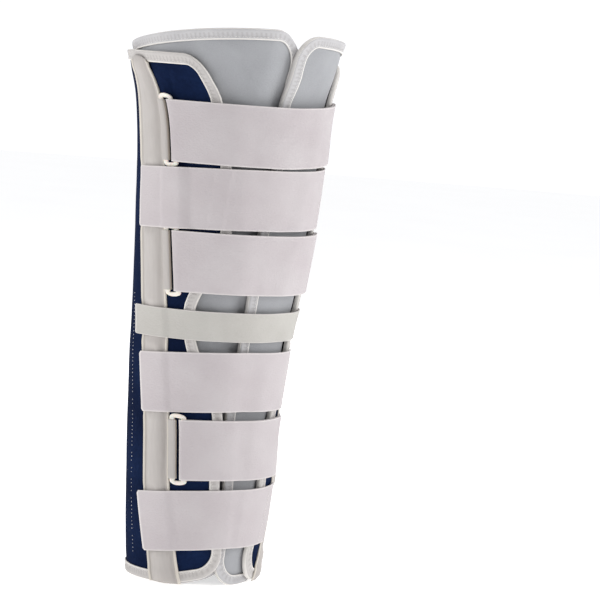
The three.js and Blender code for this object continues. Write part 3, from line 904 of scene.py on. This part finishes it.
def stay_sleeve(name, side, finish):
    """A raised sleeve down one side, over the binding at both ends, with a rounded top."""
    low = SHELL_FOOT + 0.6
    high = SHELL_TOP - TAPE_WIDE / 2
    last = len(SLEEVE_SECTION) - 1

    def section(u):
        across = round((u - 0.5) * 2 * last)
        row = SLEEVE_SECTION[abs(across)]
        return math.copysign(row["out"], across), row["high"]

    def place(u, v):
        out, rise = section(u)
        # The top end is rounded, so its corners come down
        z = mix(low, high, v) - SLEEVE_ROUND * abs(out) ** 2.4 * ramp(v, 0.94, 1)
        tape_top = SHELL_FOOT + TAPE_WIDE
        over_tape = 1 - ramp(z, tape_top, tape_top + OVER_FOOT_TAPE)
        over_tape += ramp(z, high - OVER_TOP_TAPE["start"], high - OVER_TOP_TAPE["end"])
        full = 1 - TOP_FLAT * ramp(z, high - TOP_FLAT_RUN, high)
        full -= FOOT_FLAT * (1 - ramp(z, low, low + FOOT_FLAT_RUN))
        full *= 1 - PRESSED * pressed(z)
        uneven = 0.4 * soft(out * STAY_WIDE, z, 34, 11 * side) * rise
        off = REST_GAP / 2 + OVER_TAPE_LIFT * over_tape + STAY_THICK * rise * full + uneven
        arc = stay_arc_at(z) + out * stay_half_at(z)
        if out < 0:
            arc += out * look_up(STAY_LINE, "back", z / SHELL_TOP)
        return on_wall(side * arc, z, off)

    def lay(u, v):
        return section(u)[0] * STAY_WIDE / 2, v * (high - low)

    piece = cloth_grid(name, 2 * last, STAY_ROWS, place, lay, finish)
    thicken(piece, SLEEVE_PLY)
    return piece


# Straps

FREE_HEIGHT = SHELL_TOP - sum(strap["wide"] for strap in STRAPS)
edge_above = SHELL_TOP
for strap in STRAPS:
    strap["middle"] = edge_above - strap["above"] * FREE_HEIGHT - strap["wide"] / 2
    edge_above = strap["middle"] - strap["wide"] / 2

OVER_TAPE = TAPE_THICK + STRAP_LIFT
OVER_STAY = REST_GAP + STAY_THICK + REST_GAP
# A taut strap dips only part of the way down to the liner between the shell's edges
TAUT_DIP = 0.45
OVER_GAP = mix(OVER_TAPE, LINER_FACE + TAPE_THICK + 2 * PLAY, TAUT_DIP)
BAR_OFF = OVER_TAPE + STRAP_THICK + WRAP_GAP + LOOP_THICK / 2
OVER_LOOPS = BAR_OFF + LOOP_THICK / 2 + WRAP_GAP


def strap_height(strap, turn):
    """A strap's middle height at a turn from the front, near side positive, in radians."""
    tilt = -strap["drop"] if turn > 0 else strap["rise"]
    full = math.pi / 2 if turn > 0 else math.pi / 3
    return strap["middle"] + tilt * min(abs(turn) / full, 1) ** STRAP_CLIMB


def near_bar_arc(z):
    return stay_edge_at(z) + LOOP_FROM_STAY + LOOP_BAR / 2


def far_bar_arc(z):
    return stay_edge_at(z) + LOOP_FROM_STAY + LOOP_WIDE - LOOP_BAR / 2


def crossing(strap):
    """Where a strap leaves the shell's near front edge, as an arc: the furthest that its width meets."""
    heights = [strap["middle"] + k * strap["wide"] / 2 for k in (-1, 0, 1)]
    return max(shell_edge(NEAR, z) for z in heights)


def strap_stops(strap, layer):
    """A strap's inner side as stops from its near end to its far end: the arc, and how far off the shell's
    face it lies there."""
    z = strap["middle"]
    whole = 2 * math.pi * radius_at(z)
    far_end = whole - (stay_edge_at(z) + STRAP_END_GAP + (STRAP_TURN_IN if layer else 0))
    leave = crossing(strap)
    land = whole - leave
    run = min(DIP_END, DIP_SHARE * (land - leave))
    begin = min(DIP_START, run / 2)
    dip = mix(OVER_TAPE, OVER_GAP, (run - begin) / (DIP_END - DIP_START))
    across = [
        (leave + begin, OVER_TAPE),
        (leave + run, dip),
        (land - run, dip),
        (land - begin, OVER_TAPE),
        (far_end, OVER_TAPE),
    ]
    if strap["held"] == "loop":
        return [(far_bar_arc(z) + (OVER_FROM_BAR if layer else UNDER_FROM_BAR), OVER_TAPE), *across]
    edge = stay_edge_at(z)
    start = (stay_arc_at(z) - stay_half_at(z) - strap["past"], OVER_STAY)
    if strap["held"] == "stay":
        return [start, (edge - STAY_STEP / 2, OVER_STAY), (edge + STAY_STEP / 2, OVER_TAPE), *across]
    over_arms = edge + LOOP_FROM_STAY + LOOP_WIDE
    return [
        start,
        (edge - LOOP_FROM_STAY, OVER_STAY),
        (edge + LOOP_FROM_STAY, OVER_LOOPS),
        (over_arms + PLAY, OVER_LOOPS),
        (over_arms + LOOP_STEP, OVER_TAPE),
        *across,
    ]


def strap_route(strap, layer):
    """The strap's middle line as arcs and heights off the shell's face, a strap step apart."""
    stops = strap_stops(strap, layer)
    lift = STRAP_THICK / 2 + layer * (STRAP_THICK + WRAP_GAP)
    route = []
    for start, stop in zip(stops, stops[1:]):
        steps = max(math.ceil((stop[0] - start[0]) / STRAP_STEP), 1)
        for k in range(steps):
            t = k / steps
            route.append((mix(start[0], stop[0], t), mix(start[1], stop[1], ramp(t, 0, 1)) + lift))
    return [*route, (stops[-1][0], stops[-1][1] + lift)]


def fold_route(arc, towards, thick):
    """A band's turn round a bar: flat over it, round its edge, and flat under it."""
    radius = LOOP_THICK / 2 + WRAP_GAP + thick / 2
    centre = arc + towards * (LOOP_BAR / 2 - LOOP_THICK / 2)
    turn = []
    for k in range(FOLD_STEPS + 1):
        angle = math.pi * k / FOLD_STEPS
        turn.append((centre + towards * radius * math.sin(angle), BAR_OFF + radius * math.cos(angle)))
    flat = arc - towards * LOOP_BAR / 2
    return [(flat, BAR_OFF + radius), *turn, (flat, BAR_OFF - radius)]


def along_route(route, u):
    """The arc and the height off the face at a share of a route's steps."""
    at = u * (len(route) - 1)
    k = min(int(at), len(route) - 2)
    return [mix(a, b, at - k) for a, b in zip(route[k], route[k + 1])]


def route_lengths(route):
    """How far along a route each of its points is."""
    return list(accumulate((math.dist(a, b) for a, b in zip(route, route[1:])), initial=0))


def on_strap(strap, arc, rise, off):
    """The point of a strap at an arc along its middle line and a height above it. Both ends run parallel
    to the stay sleeves."""
    z = strap["middle"]
    radius = radius_at(z)
    whole = 2 * math.pi * radius
    height = strap_height(strap, math.pi - arc / radius) + rise
    shift = stay_edge_at(height) - stay_edge_at(z)
    from_near = arc + shift
    from_far = 2 * math.pi * radius_at(height) - (whole - arc + shift)
    share = (arc - stay_edge_at(z)) / (whole - 2 * stay_edge_at(z))
    return on_wall(mix(from_near, from_far, ramp(share, STRAP_END_SHARE, 1 - STRAP_END_SHARE)), height, off)


END_CORNER = 2.5
LEAN_RUN = 60
STRAP_ROUND = 0.5
# A strap's slow waves, with their size, and how far its edges curl up
STRAP_WAVE, STRAP_WAVE_SIZE = 0.35, 45
EDGE_CURL = 0.3

# Strap 2's sewn overlap: where its two ridges cross the strap's middle, how far they lean for each
# millimetre up, how high the overlap stands, and how high and half how wide its second ridge is
OVERLAP_LINES = (255, 270)
OVERLAP_LEAN = 0.156
OVERLAP_HIGH = 0.9
RIDGE_HIGH, RIDGE_HALF = 0.5, 0.9


def overlap_height(arc, rise):
    start, end = (line + rise * OVERLAP_LEAN for line in OVERLAP_LINES)
    step = OVERLAP_HIGH * ramp(arc, start - 1, start + 0.6) * (1 - ramp(arc, end, end + 5))
    return step + RIDGE_HIGH * math.exp(-(((arc - end) / RIDGE_HALF) ** 2))


def strap_place(strap, route):
    """Where each point of a strap goes: a free end has its corners a little rounded and leans, its edges
    curl a little, and strap 2 has a sewn overlap."""
    number, half = strap["number"], strap["wide"] / 2
    free_end = strap["held"] != "loop"
    lean = END_LEAN.get(number, 0)

    def place(u, v):
        arc, off = along_route(route, u)
        rise = (2 * v - 1) * half
        corner = abs(rise) - (half - END_CORNER)
        if free_end:
            from_end = arc - route[0][0]
            if corner > 0:
                drawn = END_CORNER - math.sqrt(max(END_CORNER**2 - corner**2, 0))
                arc += drawn * (1 - ramp(from_end, 0, 4 * END_CORNER))
            arc -= lean * rise / half * (1 - ramp(from_end, 0, LEAN_RUN))
        off += STRAP_WAVE * soft(arc, rise + strap["middle"], STRAP_WAVE_SIZE, number)
        off += EDGE_CURL * (abs(rise) / half) ** 8
        if number == 2:
            off += overlap_height(arc, rise)
        return on_strap(strap, arc, rise, off)

    return place


def strap_piece(strap, finish):
    wide = strap["wide"]
    edge = 0
    if strap["held"] == "loop":
        over = list(reversed(strap_route(strap, 1)))
        fold = fold_route(far_bar_arc(strap["middle"]), -1, STRAP_THICK)
        route = [*over, *fold, *strap_route(strap, 0)]
        edge = len(over) + len(fold) // 2
    else:
        route = strap_route(strap, 0)
    last = len(route) - 1
    along = route_lengths(route)

    def lay(u, v):
        # The flat cloth is measured from the edge that shows: the free end, or the fold round the bar
        k = min(int(u * last), last - 1)
        return mix(along[k], along[k + 1], u * last - k) - along[edge], v * wide

    name = f"webbing_{strap['number']}"
    place = strap_place(strap, route)
    piece = cloth_grid(name, last, STRAP_ROWS, place, lay, finish)
    thicken(piece, STRAP_THICK + NAP, round_edge=STRAP_ROUND)
    return piece


# Slot loops and their tabs


def beside(strap, arc_off, rise, off):
    """A point in a loop's own frame: along the arc from the sleeve's edge and up from the strap's middle."""
    z = strap["middle"]
    height = strap_height(strap, math.pi - far_bar_arc(z) / radius_at(z)) + rise
    return on_wall(stay_edge_at(height) + arc_off, height, off)


# Each lobe leans a little towards the stay sleeve
LOBE_SKEW = 1.1
# The moulding's section is squarer than an ellipse
LOOP_SQUARE = 0.75


def loop_path(strap):
    """The loop's middle line: two straight bars joined by round arms, with the bar's width at each point."""
    half = (LOOP_WIDE - LOOP_BAR) / 2
    straight = strap["wide"] / 2 + LOOP_SLACK
    rise = LOOP_RISE + LOOP_ARM / 2
    bar = [(half, straight * (2 * k / LOOP_SAMPLES - 1), LOOP_BAR) for k in range(LOOP_SAMPLES)]
    top, foot = [], []
    for k in range(LOOP_SAMPLES):
        angle = math.pi * k / LOOP_SAMPLES
        up = math.sin(angle)
        wide = mix(LOOP_BAR, LOOP_ARM, ramp(up, 0, 0.75))
        across, along, lean = half * math.cos(angle), straight + rise * up**0.85, LOBE_SKEW * up * up
        top.append((across - lean, along, wide))
        foot.append((-across - lean, -along, wide))
    return [*bar, *top, *((-half, -up, wide) for _arc, up, wide in bar), *foot]


def slot_loop(strap, finish):
    """A moulded loop with flat rounded bars and round arms."""
    path = loop_path(strap)
    count = len(path)

    def place(u, v):
        k = round(u * count) % count
        arc, rise, wide = path[k]
        before, after = path[k - 1], path[(k + 1) % count]
        out = Vector((after[1] - before[1], before[0] - after[0])).normalized()
        angle = math.tau * (round(v * LOOP_ROUND_STEPS) % LOOP_ROUND_STEPS) / LOOP_ROUND_STEPS
        away = math.copysign(abs(math.cos(angle)) ** LOOP_SQUARE, math.cos(angle)) * wide / 2
        off = math.copysign(abs(math.sin(angle)) ** LOOP_SQUARE, math.sin(angle)) * LOOP_THICK / 2
        middle = LOOP_FROM_STAY + LOOP_WIDE / 2
        return beside(strap, middle + arc + out.x * away, rise + out.y * away, BAR_OFF + off)

    around = flat_lay(2 * (LOOP_WIDE + strap["wide"]), 2 * LOOP_BAR)
    name = f"loop_frame_{strap['number']}"
    return cloth_grid(name, count, LOOP_ROUND_STEPS, place, around, finish, closed=True)


# How far along its cloth a tab's fold lies, where its painted shadow runs, and half that shadow's width
TAB_FOLD = 12.8
TAB_FOLD_HALF = 4.2
TAB_ROUND = 0.4


def loop_tab(strap, finish):
    """The tab that holds a loop's near bar: from the sleeve's edge, round the bar and back."""
    z = strap["middle"]
    edge = stay_edge_at(z)
    fold = fold_route(near_bar_arc(z), 1, TAB_THICK)
    root = REST_GAP + TAB_THICK / 2
    start = edge + PLAY
    route = [(start, root + TAB_THICK + WRAP_GAP), *fold, (start, root)]
    wide = strap["wide"] - 2 * LOOP_SLACK

    def place(u, v):
        arc, off = along_route(route, u)
        return beside(strap, arc - edge, (v - 0.5) * wide, off + 0.12 * soft(arc, v * wide, 9, 2.2))

    length = route_lengths(route)[-1]
    name = f"tab_cloth_{strap['number']}"
    columns = 3 * (len(route) - 1)
    piece = cloth_grid(name, columns, TAB_ROWS, place, flat_lay(length, wide), finish)
    thicken(piece, TAB_THICK, round_edge=TAB_ROUND)
    return piece


# Stitches


# The zigzag over the binding: how many tape steps it takes for each stitch, how far in from the edge its
# two sides lie, and how far off the panel's face
ZIGZAG_STEPS = 3
ZIGZAG_DEEP = (8.6, 10.6)
ZIGZAG_OFF = 1.0

# The stitched line down the shell: how far behind the stay's middle, from where to where, how far apart its
# stitches start, how long they are, how far they stray, the share worn away, and how far off the shell
POCKET_BEHIND = 48
POCKET_FOOT = 30
POCKET_TOP = 330
POCKET_STEP = 4.4
POCKET_STITCH = (1.2, 1.9)
POCKET_STRAY = 0.4
POCKET_WORN = 0.12
POCKET_OFF = 0.2

# The box of stitches at a strap's far end: how far in from its edges, how long it is, and a stitch's step
BOX_IN = 4
BOX_LONG = 16
BOX_STEP = 3.6


def stitches(name, runs, thick, finish):
    """Rows of stitches: each is a short rounded thread between two points, a little sunk in the cloth."""
    bm = bmesh.new()
    for start, end in runs:
        along = end - start
        turn = along.to_track_quat("X", "Z").to_matrix().to_4x4()
        size = Matrix.Diagonal((along.length / 2, thick * MM / 2, thick * MM / 2, 1))
        bmesh.ops.create_icosphere(
            bm, subdivisions=1, radius=1, matrix=Matrix.Translation((start + end) / 2) @ turn @ size
        )
    return finished(name, bm, finish)


def zigzag(panel, rim, within):
    """Zigzag stitches over the tape's seam, as pairs of points."""
    spots = []
    for k in range(0, len(rim), ZIGZAG_STEPS):
        inward = ZIGZAG_DEEP[(k // ZIGZAG_STEPS) % 2] / TAPE_WIDE
        arc = mix(rim[k][0], within[k][0], inward)
        z = mix(rim[k][1], within[k][1], inward)
        spots.append(on_wall(arc, z, panel.face + ZIGZAG_OFF + panel.shift(arc, z)))
    return list(zip(spots, spots[1:]))


def pocket_seam(side):
    """The pale line of short stitches down the shell behind a stay sleeve. A few are worn away."""
    draw = random.Random(5)
    pairs = []
    z = POCKET_FOOT
    while z < POCKET_TOP:
        arc = stay_arc_at(z) - POCKET_BEHIND + draw.uniform(-POCKET_STRAY, POCKET_STRAY)
        if draw.random() > POCKET_WORN:
            end = z + draw.uniform(*POCKET_STITCH)
            pairs.append((on_wall(side * arc, z, POCKET_OFF), on_wall(side * arc, end, POCKET_OFF)))
        z += POCKET_STEP
    return pairs


def far_end_seams(strap):
    """A box of stitches that sews a strap's far end to the shell."""
    z = strap["middle"]
    whole = 2 * math.pi * radius_at(z)
    end = whole - stay_edge_at(z) - STRAP_END_GAP - BOX_IN
    start = end - BOX_LONG
    half = strap["wide"] / 2 - BOX_IN
    off = OVER_TAPE + STRAP_THICK + NAP
    corners = [(end, -half), (end, half), (start, half), (start, -half), (end, -half)]
    pairs = []
    for (arc0, rise0), (arc1, rise1) in zip(corners, corners[1:]):
        steps = max(round(math.dist((arc0, rise0), (arc1, rise1)) / BOX_STEP), 1)
        for k in range(steps):
            a, b = (k + 0.15) / steps, (k + 0.8) / steps
            first = on_strap(strap, mix(arc0, arc1, a), mix(rise0, rise1, a), off)
            pairs.append((first, on_strap(strap, mix(arc0, arc1, b), mix(rise0, rise1, b), off)))
    return pairs


def stand_for(piece, node):
    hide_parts(node)


def build_brace():
    shell_binding = binding_tape("white knitted binding tape", "#c2bebb", "#b6b2af")
    liner_binding = binding_tape("grey knitted binding tape", "#c0bfc0", "#b3b2b4")
    sleeve_cloth = coated_cloth("piped sleeve cloth", piped=True)
    tab_cloth = coated_cloth("plain tab cloth", piped=False)
    webbing = brushed_loop_webbing("brushed loop webbing", "#bfb9ba", "#b5adaf")
    cream = brushed_loop_webbing("narrow brushed loop webbing", "#b8b6b0", "#aeaba5")
    plastic = moulded_nylon()
    white_thread = sewing_thread("white sewing thread", "#d3cfcb")
    grey_thread = sewing_thread("worn pale thread", "#a9aebb")

    shell = panel_piece("shell", SHELL, PANEL_COLUMNS, woven_nylon_laminate(), 0.6)
    stand_for(shell, "outer_shell")
    shell_tape, rim, within = tape_piece("shell_tape", SHELL, shell_binding)
    stand_for(shell_tape, "shell_binding")
    runs = zigzag(SHELL, rim, within)

    liner = panel_piece("liner_foam", LINER, LINER_COLUMNS, brushed_foam_face(), 1.0)
    stand_for(liner, "liner")
    liner_tape, rim, within = tape_piece("liner_tape", LINER, liner_binding)
    stand_for(liner_tape, "liner_binding")
    runs += zigzag(LINER, rim, within)
    stitches("tape_stitches", runs, 0.5, white_thread)

    for side, word in ((NEAR, "near"), (FAR, "far")):
        sleeve = stay_sleeve(f"stay_sleeve_{word}", side, sleeve_cloth)
        stand_for(sleeve, f"stay_cover_{word}")
    pocket = stitches("pocket_stitches", pocket_seam(NEAR) + pocket_seam(FAR), 0.8, grey_thread)

    ends = []
    for strap in STRAPS:
        number = strap["number"]
        narrow = strap["wide"] == STRAP_NARROW
        band = strap_piece(strap, cream if narrow else webbing)
        stand_for(band, f"strap_{number}")
        if strap["held"] == "loop":
            stand_for(slot_loop(strap, plastic), f"slot_loop_{number}")
            stand_for(loop_tab(strap, tab_cloth), f"loop_tab_{number}")
        else:
            ends += far_end_seams(strap)
    stitches("strap_end_stitches", ends, 0.7, white_thread)


# Studio


def swung(first, second, angle):
    """Two directions at right angles, the first swung towards the second by an angle."""
    return (
        first * math.cos(angle) + second * math.sin(angle),
        second * math.cos(angle) - first * math.sin(angle),
    )


def photo_camera():
    """A camera at the photograph's angle: turned to the near side, level with the brace's top, and rolled
    a little."""
    place = Vector((math.sin(CAMERA_TURN), -math.cos(CAMERA_TURN), 0)) * CAMERA_AWAY
    place += Vector((0, FRAME_BACK, CAMERA_HEIGHT))
    right = Vector((math.cos(CAMERA_TURN), math.sin(CAMERA_TURN), 0))
    ahead = Vector((-math.sin(CAMERA_TURN), math.cos(CAMERA_TURN), 0))
    ahead, right = swung(ahead, right, CAMERA_YAW)
    up, ahead = swung(Vector((0, 0, 1)), ahead, CAMERA_PITCH)
    right, up = swung(right, up, CAMERA_ROLL)
    data = bpy.data.cameras.new("photo camera")
    data.lens = CAMERA_LENS
    data.sensor_width = SENSOR
    data.clip_end = 50
    camera = bpy.data.objects.new("photo camera", data)
    bpy.context.scene.collection.objects.link(camera)
    turn = Matrix((right, up, -ahead)).transposed().to_4x4()
    camera.matrix_world = Matrix.Translation(place * MM) @ turn
    bpy.context.scene.camera = camera


def soft_light(name, place, target, size, power):
    data = bpy.data.lights.new(name, "AREA")
    data.shape = "SQUARE"
    data.size = size
    data.energy = power
    light = bpy.data.objects.new(name, data)
    light.location = place
    light.rotation_euler = (Vector(target) - Vector(place)).to_track_quat("-Z", "Y").to_euler()
    bpy.context.scene.collection.objects.link(light)


FLOOR_RADIUS = 12
LAMP_AIM = (0, 0, 0.32)
WORLD_LIGHT = 0.48
BACKDROP_LIGHT = 1.1
LAMPS = [
    {"name": "right side", "place": (2.05, -2.0, 1.2), "size": 1.6, "power": 46},
    {"name": "left side", "place": (-2.7, 0.9, 1.2), "size": 1.6, "power": 34},
    {"name": "overhead", "place": (0.2, 0.3, 3.2), "size": 2.2, "power": 24},
    {"name": "back", "place": (1.2, 2.6, 1.4), "size": 1.6, "power": 12},
]


def studio():
    bm = bmesh.new()
    bmesh.ops.create_circle(bm, cap_ends=True, segments=64, radius=FLOOR_RADIUS)
    mesh = bpy.data.meshes.new("floor")
    bm.to_mesh(mesh)
    bm.free()
    floor = bpy.data.objects.new("floor", mesh)
    mesh.materials.append(pale_floor())
    bpy.context.scene.collection.objects.link(floor)

    world = bpy.data.worlds.new("studio")
    bpy.context.scene.world = world
    world.use_nodes = True
    sky = world.node_tree.nodes["Background"]
    sky.inputs["Color"].default_value = linear("#fbfcff")
    # The backdrop is white, and its light on the brace is a little less
    seen = add(world.node_tree, "ShaderNodeLightPath").outputs["Is Camera Ray"]
    strength = {"Value": seen, "To Min": WORLD_LIGHT, "To Max": BACKDROP_LIGHT}
    bright = add(world.node_tree, "ShaderNodeMapRange", strength)
    world.node_tree.links.new(bright.outputs["Result"], sky.inputs["Strength"])
    for lamp in LAMPS:
        soft_light(lamp["name"], lamp["place"], LAMP_AIM, lamp["size"], lamp["power"])
    bpy.context.scene.view_settings.view_transform = "Standard"


photo_camera()
studio()
build_brace()
